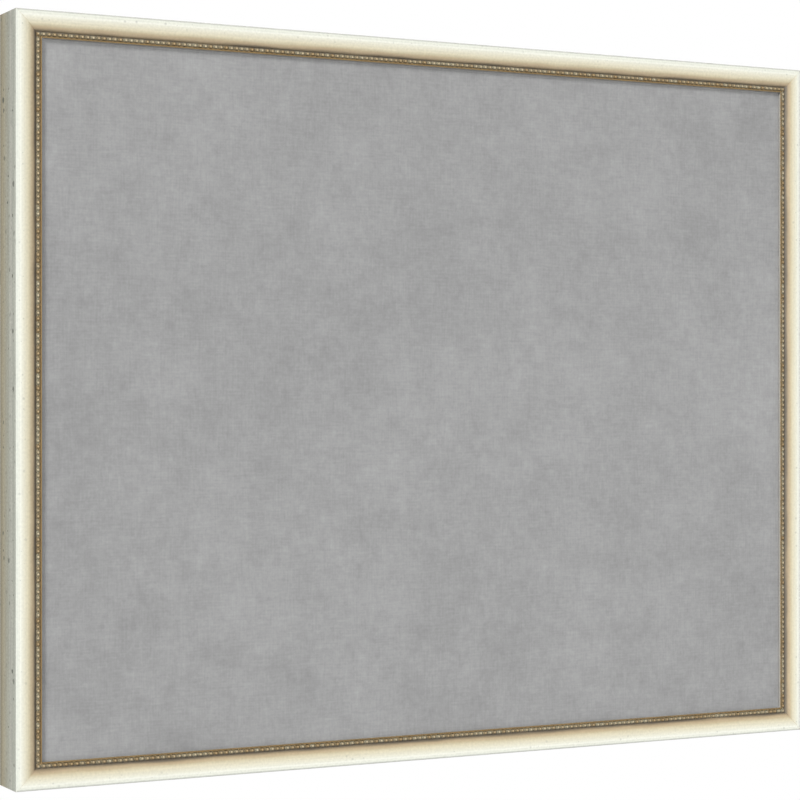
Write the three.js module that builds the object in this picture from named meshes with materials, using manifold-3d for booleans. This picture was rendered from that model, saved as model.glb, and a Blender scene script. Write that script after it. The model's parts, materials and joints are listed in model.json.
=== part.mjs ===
// A framed magnetic board: a mitred, beaded moulding round a painted steel sheet, with its backing
// and its hanging hardware. Millimetres, +Z up, the board faces -Y. The origin is the centre of the
// outline in the wall plane, where the rear bumpers touch the wall.

import * as THREE from 'three';
import { mergeVertices } from 'three/addons/utils/BufferGeometryUtils.js';
import Module from 'manifold-3d';

const wasm = await Module();
wasm.setup();

// Board
const outerWidth = 530;
const outerHeight = 428.4;
const frameDepth = 28.6;
const hairline = 0.3; // gap between pieces that touch
const overrun = 1; // reach of a cutter past the face that it opens

// Moulding section: across is counted from the outer edge inwards, drop from the crest backwards
const crownWidth = 11.8;
const crownDrop = 2.4;
const channelWidth = 2.6;
const lipWidth = 0.8;
const lipDrop = 1.3;
const lipRound = 0.2;
const shoulderDrop = 3.3;
const rabbetWidth = 4.7;
const faceWidth = crownWidth + channelWidth + lipWidth;
const wallThickness = faceWidth - rabbetWidth;
const crownShares = [ // of the crown's width and of its drop
  [0, 0.4], [0.012, 0.24], [0.04, 0.1], [0.09, 0.04], [0.16, 0.01], [0.25, 0], [0.36, 0.01],
  [0.47, 0.04], [0.58, 0.09], [0.68, 0.165], [0.78, 0.29], [0.87, 0.46], [0.93, 0.64], [0.97, 0.83],
  [1, 1],
];

// Bead strip, glued in the channel
const beadPitch = 3.2;
const beadWidth = channelWidth - 2 * hairline;
const beadHeight = 0.95;
const ribbonHeight = 0.35;
const beadTopShare = 0.55; // of a bead's width
const neckShare = 0.6; // of a bead's width

// Panel stack in the rabbet
const rabbetClearance = 0.5;
const steelThickness = 0.6;
const backingThickness = 3.2;
const panelSplits = 3;

// Framer's points, driven flat into the rabbet wall behind the backing
const pointThickness = 0.5;
const pointWidth = 6;
const pointBite = 4;
const pointReach = 9;
const pointShoulder = 2.5;
const pointSpacing = 130;

// V-nails across the mitres, driven from the back
const nailThickness = 0.5;
const nailLeg = 4.4;
const nailHeight = 8;
const nailInsetShares = { outer: 0.21, inner: 0.52 }; // of the rabbet wall's thickness

// Bumpers on the rear corners
const bumperHeight = 4.8;
const bumperRadius = 4;
const bumperMargin = 1.4; // from the outline's edge
const bumperInset = bumperRadius + bumperMargin;
const bumperTaper = 0.5;
const bumperRound = 0.5;

// Strap hangers with D-rings
const hangerDrop = 142; // outline's top edge to the rings' axis
const strapThickness = 0.8;
const strapMargin = 0.75; // from either side of the rabbet wall
const strapWidth = wallThickness - 2 * strapMargin;
const wireDiameter = 1.8;
const ringInnerWidth = 6.4;
const ringArm = 6;
const ringCorner = 1.1;
const sidePlay = 0.4; // between the knuckle and either arm of its ring
const knuckleWidth = ringInnerWidth - 2 * sidePlay;

// Hanger screws
const screwHeadRadius = 2.7;
const screwHeadHeight = 1.6;
const screwHeadRound = 0.6;
const screwRadius = 1.3;
const screwLength = 12;
const screwTip = 3;
const ringToHead = 1.7; // hanging ring to the screw's head
const ringReach = ringArm + ringInnerWidth / 2 + wireDiameter;
const screwDrop = ringReach + ringToHead + screwHeadRadius;

// Facets
const roundSides = 24;
const wireSides = 10;
const cornerSteps = 3;
const bowSteps = 12;

// Depths along Y
const backY = -bumperHeight;
const crestY = backY - frameDepth;
const shoulderY = crestY + shoulderDrop;
const steelFrontY = shoulderY + hairline;
const backingFrontY = steelFrontY + steelThickness + hairline;
const pointFrontY = backingFrontY + backingThickness + hairline;

const finish = (color, roughness, metalness) =>
  new THREE.MeshStandardMaterial({ color, roughness, metalness });
const ivoryPaint = finish('#efecd9', 0.45, 0);
const antiqueGilt = finish('#a98a5a', 0.4, 0.6);
const greyCoating = finish('#a3a3a3', 0.65, 0.1);
const hardboard = finish('#8c6f50', 0.85, 0);
const zincPlate = finish('#b8bbbd', 0.35, 1);
const blackRubber = finish('#2a2a2b', 0.8, 0);

// The four sides, each in a group turned about Y so that its outer edge lies outwards and its own
// X runs along it
const sides = [
  { name: 'top', moulding: 'top_rail', corner: 'top_left', turn: 0 },
  { name: 'right', moulding: 'right_stile', corner: 'top_right', turn: Math.PI / 2 },
  { name: 'bottom', moulding: 'bottom_rail', corner: 'bottom_right', turn: Math.PI },
  { name: 'left', moulding: 'left_stile', corner: 'bottom_left', turn: -Math.PI / 2 },
];
const hands = { left: -1, right: 1 };
const turnAxis = new THREE.Vector3(0, 1, 0);

const board = new THREE.Group();

function addPiece(parent, name, geometry, material, x = 0, y = 0, z = 0) {
  geometry.computeVertexNormals();
  const mesh = new THREE.Mesh(geometry, material);
  mesh.name = name;
  mesh.position.set(x, y, z);
  parent.add(mesh);
}

function meshOf(points, triangles) {
  const geometry = new THREE.BufferGeometry();
  geometry.setAttribute('position', new THREE.Float32BufferAttribute(points.flat(), 3));
  geometry.setIndex(triangles.flat());
  return geometry;
}

// Boolean cuts and joins
function solidOf(geometry) {
  const bare = geometry.clone();
  bare.deleteAttribute('normal');
  bare.deleteAttribute('uv');
  const merged = mergeVertices(bare);
  return new wasm.Manifold(new wasm.Mesh({
    numProp: 3,
    vertProperties: Float32Array.from(merged.attributes.position.array),
    triVerts: Uint32Array.from(merged.index.array),
  }));
}

function geometryOf(solid) {
  const mesh = solid.getMesh();
  const geometry = new THREE.BufferGeometry();
  geometry.setAttribute('position', new THREE.BufferAttribute(mesh.vertProperties, mesh.numProp));
  geometry.setIndex(new THREE.BufferAttribute(mesh.triVerts, 1));
  return geometry;
}

function cut(geometry, cutters) {
  return geometryOf(cutters.reduce((solid, cutter) => solid.subtract(solidOf(cutter)), solidOf(geometry)));
}

// A bar along X through rings of [across, drop] points, counterclockwise, with Z falling as across
// grows. A ring's place along X may depend on the distance across, as in a mitre.
function barOf(rings) {
  const count = rings[0].outline.length;
  const points = rings.flatMap(({ outline, place }) =>
    outline.map(([across, drop]) => [place(across), crestY + drop, -across]));
  const contour = rings[0].outline.map(([across, drop]) => new THREE.Vector2(across, drop));
  const cap = THREE.ShapeUtils.triangulateShape(contour, []);
  const last = (rings.length - 1) * count;
  const triangles = cap.flatMap(([a, b, c]) => [[c, b, a], [last + a, last + b, last + c]]);
  for (let ring = 0; ring < rings.length - 1; ring += 1) {
    for (let i = 0; i < count; i += 1) {
      const [near, far] = [ring * count, (ring + 1) * count];
      const next = (i + 1) % count;
      triangles.push([near + i, near + next, far + next], [near + i, far + next, far + i]);
    }
  }
  return meshOf(points, triangles);
}

const mitre = (length, end) => (across) => end * (length / 2 - across - hairline / 2);

// A flat piece cut from an outline in X and Z, which runs forwards from y = 0
function plateOf(outline, thickness) {
  const shape = new THREE.Shape(outline.map(([x, z]) => new THREE.Vector2(x, z)));
  const geometry = new THREE.ExtrudeGeometry(shape, { depth: thickness, bevelEnabled: false });
  return geometry.rotateX(Math.PI / 2);
}

// A round piece about Y, from a profile of [radius, y] points that starts and ends on the axis
function turned(profile) {
  return new THREE.LatheGeometry(profile.map(([r, y]) => new THREE.Vector2(r, y)), roundSides);
}

// Moulding
function mouldingOutline() {
  const crown = crownShares.map(([across, drop]) => [across * crownWidth, drop * crownDrop]);
  const channelEnd = crownWidth + channelWidth;
  return [
    ...crown,
    [channelEnd, crownDrop],
    [channelEnd, lipDrop + lipRound],
    [channelEnd + lipRound, lipDrop],
    [faceWidth - lipRound, lipDrop],
    [faceWidth, lipDrop + lipRound],
    [faceWidth, shoulderDrop],
    [wallThickness, shoulderDrop],
    [wallThickness, frameDepth],
    [0, frameDepth],
  ];
}

function mouldingBlank(length) {
  const outline = mouldingOutline();
  return barOf([-1, 1].map((end) => ({ outline, place: mitre(length, end) })));
}

// Bead strip: one ring at each neck and one at each crown of a bead
function beadOutline(width, height) {
  const centre = crownWidth + channelWidth / 2;
  const base = crownDrop - hairline;
  const top = base - height;
  return [
    [centre - width * beadTopShare / 2, top],
    [centre + width * beadTopShare / 2, top],
    [centre + width / 2, base],
    [centre - width / 2, base],
  ];
}

// The mitre cuts the bead at each corner in half, and the next strip has its other half
function beadStrip(length) {
  const run = length - 2 * (crownWidth + channelWidth / 2);
  const count = Math.round(run / beadPitch);
  const pitch = run / count;
  const neck = beadOutline(beadWidth * neckShare, ribbonHeight);
  const crown = beadOutline(beadWidth, beadHeight);
  const rings = [{ outline: crown, place: mitre(length, -1) }];
  for (let gap = 0; gap < count; gap += 1) {
    const middle = (gap + 0.5) * pitch - run / 2;
    if (gap > 0) rings.push({ outline: crown, place: () => middle - pitch / 2 });
    rings.push({ outline: neck, place: () => middle });
  }
  rings.push({ outline: crown, place: mitre(length, 1) });
  return barOf(rings);
}

// Framer's points
function pointPlaces(length) {
  const run = length - 2 * wallThickness;
  const count = Math.round(run / pointSpacing);
  return Array.from({ length: count }, (_, i) => ((i + 0.5) / count - 0.5) * run);
}

function framerPoint() {
  const half = pointWidth / 2;
  const tip = -(wallThickness - pointBite);
  const tail = -(wallThickness + pointReach);
  return plateOf([
    [0, tip], [-half, tip - pointShoulder], [-half, tail], [half, tail], [half, tip - pointShoulder],
  ], pointThickness);
}

function pointSlot(x) {
  const depth = pointBite + hairline + overrun;
  const slot = new THREE.BoxGeometry(pointWidth + 2 * hairline, pointThickness + 2 * hairline, depth);
  const centreZ = -(wallThickness + overrun) + depth / 2;
  return slot.translate(x, pointFrontY + pointThickness / 2, centreZ);
}

// V-nails: two legs at right angles, one in each rail, from an apex on the mitre
function nailOutline(inset, grow) {
  const near = inset - nailThickness / 2 - grow;
  const far = inset + nailThickness / 2 + grow;
  const end = inset + nailLeg + grow;
  return [[near, -near], [near, -end], [far, -end], [far, -far], [end, -far], [end, -near]];
}

function nailSlots(length) {
  const depth = nailHeight + 2 * hairline + overrun;
  return Object.values(nailInsetShares).flatMap((share) => {
    const outline = nailOutline(share * wallThickness, hairline);
    const atStart = outline.map(([x, z]) => [x - length / 2, z]);
    const atEnd = outline.map(([x, z]) => [length / 2 - x, z]).reverse();
    return [atStart, atEnd].map((at) => plateOf(at, depth).translate(0, backY + overrun, 0));
  });
}

// Strap hangers and D-rings, about the rings' axis
const wireRadius = wireDiameter / 2;
const boreRadius = wireRadius + hairline;
const knuckleRadius = boreRadius + strapThickness;
const hangerX = outerWidth / 2 - wallThickness / 2;
const hangerZ = outerHeight / 2 - hangerDrop;
const screwHoleRadius = screwRadius + hairline;

function strap() {
  const half = strapWidth / 2;
  const neck = knuckleWidth / 2;
  const round = Array.from({ length: roundSides / 2 + 1 }, (_, i) => {
    const angle = Math.PI * (1 + i / (roundSides / 2));
    return [half * Math.cos(angle), half * Math.sin(angle) - screwDrop];
  });
  const outline = [...round, [half, -knuckleRadius - half + neck], [neck, -knuckleRadius], [neck, 0],
    [-neck, 0], [-neck, -knuckleRadius], [-half, -knuckleRadius - half + neck]];
  const plate = plateOf(outline, strapThickness).translate(0, strapThickness - knuckleRadius, 0);
  const roll = new THREE.CylinderGeometry(knuckleRadius, knuckleRadius, knuckleWidth, roundSides);
  const bore = new THREE.CylinderGeometry(boreRadius, boreRadius, knuckleWidth + 2 * overrun, roundSides);
  const hole = new THREE.CylinderGeometry(screwHoleRadius, screwHoleRadius,
    2 * knuckleRadius + 2 * overrun, roundSides);
  hole.translate(0, 0, -screwDrop);
  const joined = solidOf(plate).add(solidOf(roll.rotateZ(Math.PI / 2)));
  return geometryOf(joined.subtract(solidOf(bore.rotateZ(Math.PI / 2))).subtract(solidOf(hole)));
}

// Centre line of a D-ring in X and Z: bar, corner, arm and bow
function ringLine() {
  const half = (ringInnerWidth + wireDiameter) / 2;
  const corner = Array.from({ length: cornerSteps + 1 }, (_, i) => {
    const angle = Math.PI / 2 * (1 - i / cornerSteps);
    return [half - ringCorner * (1 - Math.cos(angle)), -ringCorner * (1 - Math.sin(angle))];
  });
  const bow = Array.from({ length: bowSteps + 1 }, (_, i) => {
    const angle = -Math.PI * i / bowSteps;
    return [half * Math.cos(angle), half * Math.sin(angle) - ringArm];
  });
  return [...corner, ...bow, ...corner.map(([x, z]) => [-x, z]).reverse()];
}

// Closed wire along a flat loop, clockwise in X and Z
function wireLoop(line) {
  const points = line.flatMap(([x, z], i) => {
    const [beforeX, beforeZ] = line.at(i - 1);
    const [afterX, afterZ] = line[(i + 1) % line.length];
    const outward = new THREE.Vector3(beforeZ - afterZ, 0, afterX - beforeX).normalize();
    return Array.from({ length: wireSides }, (_, k) => {
      const angle = 2 * Math.PI * k / wireSides;
      const out = wireRadius * Math.cos(angle);
      return [x + outward.x * out, wireRadius * Math.sin(angle), z + outward.z * out];
    });
  });
  const triangles = line.flatMap((_, i) => {
    const [near, far] = [i * wireSides, ((i + 1) % line.length) * wireSides];
    return Array.from({ length: wireSides }, (__, k) => {
      const next = (k + 1) % wireSides;
      return [[near + k, far + next, near + next], [near + k, far + k, far + next]];
    }).flat();
  });
  return meshOf(points, triangles);
}

function screw() {
  return turned([
    [0, -screwLength],
    [screwRadius, screwTip - screwLength],
    [screwRadius, 0],
    [screwHeadRadius, 0],
    [screwHeadRadius, screwHeadHeight - screwHeadRound],
    [screwHeadRadius - screwHeadRound, screwHeadHeight],
    [0, screwHeadHeight],
  ]);
}

function bumper() {
  return turned([
    [0, 0],
    [bumperRadius, 0],
    [bumperRadius - bumperTaper, bumperHeight - bumperRound],
    [bumperRadius - bumperTaper - bumperRound, bumperHeight],
    [0, bumperHeight],
  ]);
}

// The hole that a hanger's screw takes in its stile, in the stile's own group
function screwHole(side, reach) {
  const length = screwLength + hairline + overrun;
  const hole = new THREE.CylinderGeometry(screwHoleRadius, screwHoleRadius, length, roundSides);
  const place = new THREE.Vector3(hands[side.name] * hangerX, 0, hangerZ - screwDrop);
  place.applyAxisAngle(turnAxis, -side.turn);
  return hole.translate(place.x, backY + overrun - length / 2, place.z - reach);
}

// The sides: moulding, bead strip, framer's points, V-nails and a bumper
for (const side of sides) {
  const level = side.name === 'top' || side.name === 'bottom';
  const length = level ? outerWidth : outerHeight;
  const reach = (level ? outerHeight : outerWidth) / 2;
  const group = new THREE.Group();
  group.position.set(reach * Math.sin(side.turn), 0, reach * Math.cos(side.turn));
  group.rotation.y = side.turn;
  board.add(group);

  const places = pointPlaces(length);
  const cutters = [...places.map((x) => pointSlot(x)), ...nailSlots(length)];
  if (!level) cutters.push(screwHole(side, reach));
  addPiece(group, side.moulding, cut(mouldingBlank(length), cutters), ivoryPaint);
  addPiece(group, `bead_strip_${side.name}`, beadStrip(length), antiqueGilt);
  places.forEach((x, i) => {
    const rear = pointFrontY + pointThickness;
    addPiece(group, `framer_point_${side.name}_${i + 1}`, framerPoint(), zincPlate, x, rear);
  });

  const start = -length / 2;
  for (const [row, share] of Object.entries(nailInsetShares)) {
    const nail = plateOf(nailOutline(share * wallThickness, 0), nailHeight);
    addPiece(group, `v_nail_${side.corner}_${row}`, nail, zincPlate, start, backY - hairline);
  }
  addPiece(group, `bumper_${side.corner}`, bumper(), blackRubber, start + bumperInset, backY,
    -bumperInset);
}

// The panel stack
const panelWidth = outerWidth - 2 * (wallThickness + rabbetClearance);
const panelHeight = outerHeight - 2 * (wallThickness + rabbetClearance);
const steel = new THREE.BoxGeometry(panelWidth, steelThickness, panelHeight, panelSplits, 1, panelSplits);
const backing = new THREE.BoxGeometry(panelWidth, backingThickness, panelHeight);
addPiece(board, 'steel_sheet', steel, greyCoating, 0, steelFrontY + steelThickness / 2);
addPiece(board, 'backing_board', backing, hardboard, 0, backingFrontY + backingThickness / 2);

// The hangers on the stiles
for (const [name, hand] of Object.entries(hands)) {
  const hanger = new THREE.Group();
  hanger.position.set(hand * hangerX, backY + knuckleRadius, hangerZ);
  board.add(hanger);
  addPiece(hanger, `hanger_strap_${name}`, strap(), zincPlate);
  addPiece(hanger, `d_ring_${name}`, wireLoop(ringLine()), zincPlate);
  addPiece(hanger, `hanger_screw_${name}`, screw(), zincPlate, 0, strapThickness - knuckleRadius,
    -screwDrop);
}

export default board;
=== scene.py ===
# %% [markdown]
# # A framed magnetic board
# A grey steel sheet sits in a narrow picture moulding: ivory paint, a dark glaze in the cove and a
# row of gilt beads along the inner edge. The measured model gives the sizes and the moving parts.
# This notebook dresses it, piece by piece, and starts by loading that model.

# %% Load the measured model
import json
import math
import random

import bmesh
import bpy
from mathutils import Matrix, Vector


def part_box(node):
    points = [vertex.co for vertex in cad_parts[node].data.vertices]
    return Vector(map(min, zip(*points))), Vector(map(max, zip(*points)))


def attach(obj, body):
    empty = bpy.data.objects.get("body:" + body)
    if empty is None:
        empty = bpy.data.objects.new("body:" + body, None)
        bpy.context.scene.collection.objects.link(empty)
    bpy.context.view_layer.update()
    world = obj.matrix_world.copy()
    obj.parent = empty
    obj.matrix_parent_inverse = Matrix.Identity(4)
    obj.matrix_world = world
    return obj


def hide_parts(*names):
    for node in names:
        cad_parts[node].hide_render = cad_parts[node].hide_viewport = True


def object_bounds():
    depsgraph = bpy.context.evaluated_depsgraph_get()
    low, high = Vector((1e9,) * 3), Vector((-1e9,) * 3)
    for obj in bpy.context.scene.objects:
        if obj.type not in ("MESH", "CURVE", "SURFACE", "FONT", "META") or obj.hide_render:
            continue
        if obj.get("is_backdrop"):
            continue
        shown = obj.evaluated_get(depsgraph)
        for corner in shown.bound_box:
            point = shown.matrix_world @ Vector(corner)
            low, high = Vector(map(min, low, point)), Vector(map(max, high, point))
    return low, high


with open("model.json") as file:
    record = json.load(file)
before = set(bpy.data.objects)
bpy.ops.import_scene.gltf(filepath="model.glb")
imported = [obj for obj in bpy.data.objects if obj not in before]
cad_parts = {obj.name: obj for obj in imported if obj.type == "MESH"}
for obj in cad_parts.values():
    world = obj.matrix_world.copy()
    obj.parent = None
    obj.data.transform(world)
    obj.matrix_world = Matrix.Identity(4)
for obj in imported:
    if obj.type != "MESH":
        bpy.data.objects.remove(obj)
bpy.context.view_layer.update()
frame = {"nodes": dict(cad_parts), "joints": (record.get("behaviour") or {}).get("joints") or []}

# %% [markdown]
# ## Camera
# A long lens flattens the view, but the right edge of the board is still clearly shorter than the
# left one. Those two lengths, and the side face at the far left, fix the lens, the place and the
# turn of the camera. It stands level, at half the board's height.

# %% Camera
MM = 0.001
CAMERA_PLACE = (-678.8 * MM, -1276.7 * MM, 0.0)
CAMERA_TURN = math.radians(27.604)
CAMERA_LENS = 106.66
SENSOR_WIDTH = 36.0

camera_data = bpy.data.cameras.new("camera")
camera_data.lens = CAMERA_LENS
camera_data.sensor_width = SENSOR_WIDTH
camera = bpy.data.objects.new("camera", camera_data)
camera.location = CAMERA_PLACE
camera.rotation_euler = (math.pi / 2, 0.0, -CAMERA_TURN)
bpy.context.scene.collection.objects.link(camera)
bpy.context.scene.camera = camera
bpy.context.scene.view_settings.view_transform = "Standard"
print("lens, mm:", CAMERA_LENS, "turned, degrees:", round(math.degrees(CAMERA_TURN), 1))

# %% [markdown]
# ## Nodes and colours
# Colours are picked as sRGB hex values, as on a paint chart, and the renderer wants them linear.
# One function does that. A second one adds a shader node, fills its sockets and joins its links,
# so that every material below reads as a short list of nodes.

# %% Helpers for materials
PLAIN_WHITE = (1.0, 1.0, 1.0, 1.0)


def linear(hex_colour):
    """An sRGB hex colour as a linear RGBA tuple, by the sRGB standard's curve."""
    channels = [int(hex_colour[i:i + 2], 16) / 255 for i in (1, 3, 5)]
    decoded = [c / 12.92 if c <= 0.04045 else ((c + 0.055) / 1.055) ** 2.4 for c in channels]
    return (*decoded, 1.0)


def add_node(tree, kind, settings=None, links=None):
    """Add a node. A setting names a socket, a property or a ramp's stops; a link, a socket."""
    node = tree.nodes.new(kind)
    for name, value in (settings or {}).items():
        if name == "stops":
            elements = node.color_ramp.elements
            for place, colour in value[1:-1]:
                elements.new(place).color = linear(colour)
            for element, (place, colour) in zip(elements, value):
                element.position = place
                element.color = linear(colour)
        elif isinstance(name, int) or name in node.inputs:
            node.inputs[name].default_value = value
        else:
            setattr(node, name, value)
    for name, source in (links or {}).items():
        tree.links.new(source, node.inputs[name])
    return node


def new_material(name, settings):
    """A material with one Principled shader, and the tree and shader to build on."""
    material = bpy.data.materials.new(name)
    material.use_nodes = True
    tree = material.node_tree
    tree.nodes.clear()
    shader = add_node(tree, "ShaderNodeBsdfPrincipled", settings)
    add_node(tree, "ShaderNodeOutputMaterial", links={"Surface": shader.outputs["BSDF"]})
    return material, tree, shader


# %% [markdown]
# ## Patterns of a real size
# Paint, wood and metal are never one flat colour. What the eye reads as their make is mostly a
# pattern of a known size, such as a brush hair or the grain of a coat. A photograph of paint
# stretched over the board would repeat and smear, so these steps make the patterns from noise. Each
# takes its size in millimetres, on the mesh's own coordinates or on a place that the mesh carries.

# %% Mottle, shade and relief
def millimetres(tree):
    """The object's own coordinates in millimetres."""
    coordinates = add_node(tree, "ShaderNodeTexCoord")
    scaled = add_node(tree, "ShaderNodeVectorMath", {"operation": "SCALE", "Scale": 1 / MM}, {
        0: coordinates.outputs["Object"],
    })
    return scaled.outputs[0]


def mottle(tree, place, size, detail=3.0, roughness=0.5):
    """A random pattern whose grains have a size along each axis, in the place's units."""
    scaled = add_node(tree, "ShaderNodeVectorMath", {
        "operation": "MULTIPLY", 1: tuple(1 / s for s in size),
    }, {0: place})
    texture = add_node(tree, "ShaderNodeTexNoise", {
        "Scale": 1.0, "Detail": detail, "Roughness": roughness,
    }, {"Vector": scaled.outputs[0]})
    return texture.outputs["Fac"]


def varied(tree, colour, value, darkest, lightest, start=0.3, end=0.7):
    """A colour that a noise, or another value, makes darker and lighter."""
    shade = add_node(tree, "ShaderNodeMapRange", {
        "From Min": start, "From Max": end, "To Min": darkest, "To Max": lightest,
    }, {"Value": value})
    mixed = add_node(tree, "ShaderNodeMix", {
        "data_type": "RGBA", "blend_type": "MULTIPLY", 0: 1.0,
    }, {6: colour, 7: shade.outputs[0]})
    return mixed.outputs[2]


def relief(tree, shader, heights, strength, depth_mm):
    """Raises the surface by the sum of a few noises, up to a depth in millimetres."""
    total = heights[0]
    for height in heights[1:]:
        added = add_node(tree, "ShaderNodeMath", {"operation": "ADD"}, {0: total, 1: height})
        total = added.outputs[0]
    bump = add_node(tree, "ShaderNodeBump", {"Strength": strength, "Distance": depth_mm * MM}, {
        "Height": total,
    })
    tree.links.new(bump.outputs["Normal"], shader.inputs["Normal"])


# %% [markdown]
# ## Specks
# The finisher flicks a loaded brush at the wet glaze, which leaves dark specks. They are few,
# ragged and of all sizes, so plain noise would not do: it is even everywhere. A grid of cells gives
# one speck to some of the cells, and each cell's own random colour throws its dice.

# %% Flicked specks
SPECK_SHRINK = (0.75, 2.5)
SPECK_CORE = 0.5


def specks(tree, first, second, spacing, radius, share, wobble):
    """Ragged specks, one to a cell in a share of the cells; the sizes are in millimetres."""
    flat = add_node(tree, "ShaderNodeCombineXYZ", links={0: first, 1: second})
    bend = add_node(tree, "ShaderNodeTexNoise", {"Scale": 1 / radius, "Detail": 1.0}, {
        "Vector": flat.outputs[0],
    })
    bent = add_node(tree, "ShaderNodeVectorMath", {
        "operation": "MULTIPLY_ADD", 1: (wobble, wobble, 0.0),
    }, {0: bend.outputs["Color"], 2: flat.outputs[0]})
    cells = add_node(tree, "ShaderNodeTexVoronoi", {
        "voronoi_dimensions": "2D", "Scale": 1 / spacing,
    }, {"Vector": bent.outputs[0]})
    dice = add_node(tree, "ShaderNodeSeparateXYZ", links={0: cells.outputs["Color"]})
    shrink = add_node(tree, "ShaderNodeMapRange", {
        "To Min": SPECK_SHRINK[0], "To Max": SPECK_SHRINK[1],
    }, {"Value": dice.outputs[2]})
    away = add_node(tree, "ShaderNodeMath", {"operation": "MULTIPLY"}, {
        0: cells.outputs["Distance"], 1: shrink.outputs[0],
    })
    reach = radius / spacing
    near = add_node(tree, "ShaderNodeMapRange", {
        "From Min": SPECK_CORE * reach, "From Max": reach, "To Min": 1.0, "To Max": 0.0,
    }, {"Value": away.outputs[0]})
    kept = add_node(tree, "ShaderNodeMath", {"operation": "LESS_THAN", 1: share}, {
        0: dice.outputs[0],
    })
    there = add_node(tree, "ShaderNodeMath", {"operation": "MULTIPLY"}, {
        0: near.outputs[0], 1: kept.outputs[0],
    })
    strong = add_node(tree, "ShaderNodeMath", {"operation": "MULTIPLY"}, {
        0: there.outputs[0], 1: dice.outputs[1],
    })
    return strong.outputs[0]


# %% [markdown]
# ## Ivory paint with an umber glaze, and painted light
# The moulding is poplar with a gessoed face: several coats of ivory paint, then a thin umber
# glaze wiped off the crest and left in the cove. A ramp across the face holds that glaze, and
# painted light with it: a painted highlight along the crest, painted shade on the eased outer
# edge, and painted shade on top of the glaze in the cove and in the groove by the beads. The glaze
# wanders most where it is thickest. Each length of moulding carries two attributes. One is the
# place in millimetres along it, across it and behind its crest, so that brush strokes run with it.
# The other is painted shade set for that length, to even out how the key light falls on the four
# lengths: how many millimetres the cove's dark is spread outwards, how many at the outer edge are
# left without the painted edge shade, and how strongly the beads' painted highlight and shade are
# drawn.

# %% Glaze, painted highlight and painted shade across the face
FACE_MM = 15.0
# Glaze and painted light, in mm from the outer edge: the grey stops up to 0.75 mm are painted shade
# on the eased edge, the brightest stop at 3 mm is a painted highlight on the crest, and from about
# 8 mm inwards painted shade deepens the glaze, darkest in the groove by the beads.
GLAZE_AND_PAINTED_LIGHT = [
    (0.0, "#a3a499"), (0.3, "#c7c7be"), (0.75, "#cccec5"), (1.2, "#e8eadd"), (2.0, "#e5e6d9"),
    (3.0, "#f1f1e5"), (3.8, "#e7e6d6"), (5.2, "#e2deca"), (6.4, "#dbd5bd"), (7.2, "#dad2b7"),
    (8.2, "#cec4a6"), (9.2, "#bfaf8f"), (10.2, "#b39f81"), (10.9, "#97876c"), (11.5, "#766b59"),
    (12.0, "#655d50"), (12.6, "#574f43"), (13.6, "#5e5546"), (14.2, "#b39b70"), (15.0, "#b39b70"),
]
DRIFT_LENGTH_MM = 30.0
DRIFT_WIDTH_MM = 5.0
COVE_MM = (5.0, 11.0)
DRIFT_REACH_MM = (0.2, 2.6)
SHADE_SPREAD_START_MM = (1.5, 3.0)

ivory_paint_and_painted_light, tree, shader = new_material("glazed_ivory_paint_and_painted_light", {"Roughness": 0.5, "IOR": 1.5})
place = add_node(tree, "ShaderNodeAttribute", {"attribute_name": "moulding"}).outputs["Vector"]
along, across, _ = add_node(tree, "ShaderNodeSeparateXYZ", links={0: place}).outputs
handwork = add_node(tree, "ShaderNodeAttribute", {"attribute_name": "handwork"}).outputs["Vector"]
shade_spread_mm, edge_shade_left_out_mm, _ = add_node(tree, "ShaderNodeSeparateXYZ", links={0: handwork}).outputs
drift = mottle(tree, place, (DRIFT_LENGTH_MM, DRIFT_WIDTH_MM, DRIFT_WIDTH_MM))
centred = add_node(tree, "ShaderNodeMath", {"operation": "SUBTRACT", 1: 0.5}, {0: drift})
reach = add_node(tree, "ShaderNodeMapRange", {
    "From Min": COVE_MM[0], "From Max": COVE_MM[1],
    "To Min": DRIFT_REACH_MM[0], "To Max": DRIFT_REACH_MM[1],
}, {"Value": across})
drifted = add_node(tree, "ShaderNodeMath", {"operation": "MULTIPLY_ADD"}, {
    0: centred.outputs[0], 1: reach.outputs[0], 2: across,
})
# Painted shade set for each side: the cove's dark is spread outwards by the side's own millimetres,
# and the outer edge is left without the painted edge shade up to the side's own width.
inside = add_node(tree, "ShaderNodeMapRange", {
    "From Min": SHADE_SPREAD_START_MM[0], "From Max": SHADE_SPREAD_START_MM[1],
}, {"Value": across})
spread_shade = add_node(tree, "ShaderNodeMath", {"operation": "MULTIPLY_ADD"}, {
    0: shade_spread_mm, 1: inside.outputs[0], 2: drifted.outputs[0],
})
edge_shade_left_out = add_node(tree, "ShaderNodeMath", {"operation": "MAXIMUM"}, {
    0: spread_shade.outputs[0], 1: edge_shade_left_out_mm,
})
share = add_node(tree, "ShaderNodeMath", {"operation": "DIVIDE", 1: FACE_MM}, {
    0: edge_shade_left_out.outputs[0],
})
glaze_and_painted_light = add_node(tree, "ShaderNodeValToRGB", {
    "stops": [(mm / FACE_MM, colour) for mm, colour in GLAZE_AND_PAINTED_LIGHT],
}, {"Fac": share.outputs[0]})
print("glaze:", len(GLAZE_AND_PAINTED_LIGHT), "tones over", FACE_MM, "mm")

# %% [markdown]
# Over the glaze come the marks of the tools: the brush's streaks, the grain of the paint, and a few
# specks near the outer edge. The grain is drawn about twice as coarse as a real one, so that it
# shows.

# %% Brush marks, grain and specks
BRUSH_LENGTH_MM = 60.0
BRUSH_MM = 1.1
GRAIN_MM = 1.4
SPECK_SPACING_MM = 6.0
SPECK_MM = 0.8
SPECK_WOBBLE_MM = 0.3
SPECK_EDGE_MM = (2.0, 5.0)
SPECK_STRENGTH = (0.6, 0.2)

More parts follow.
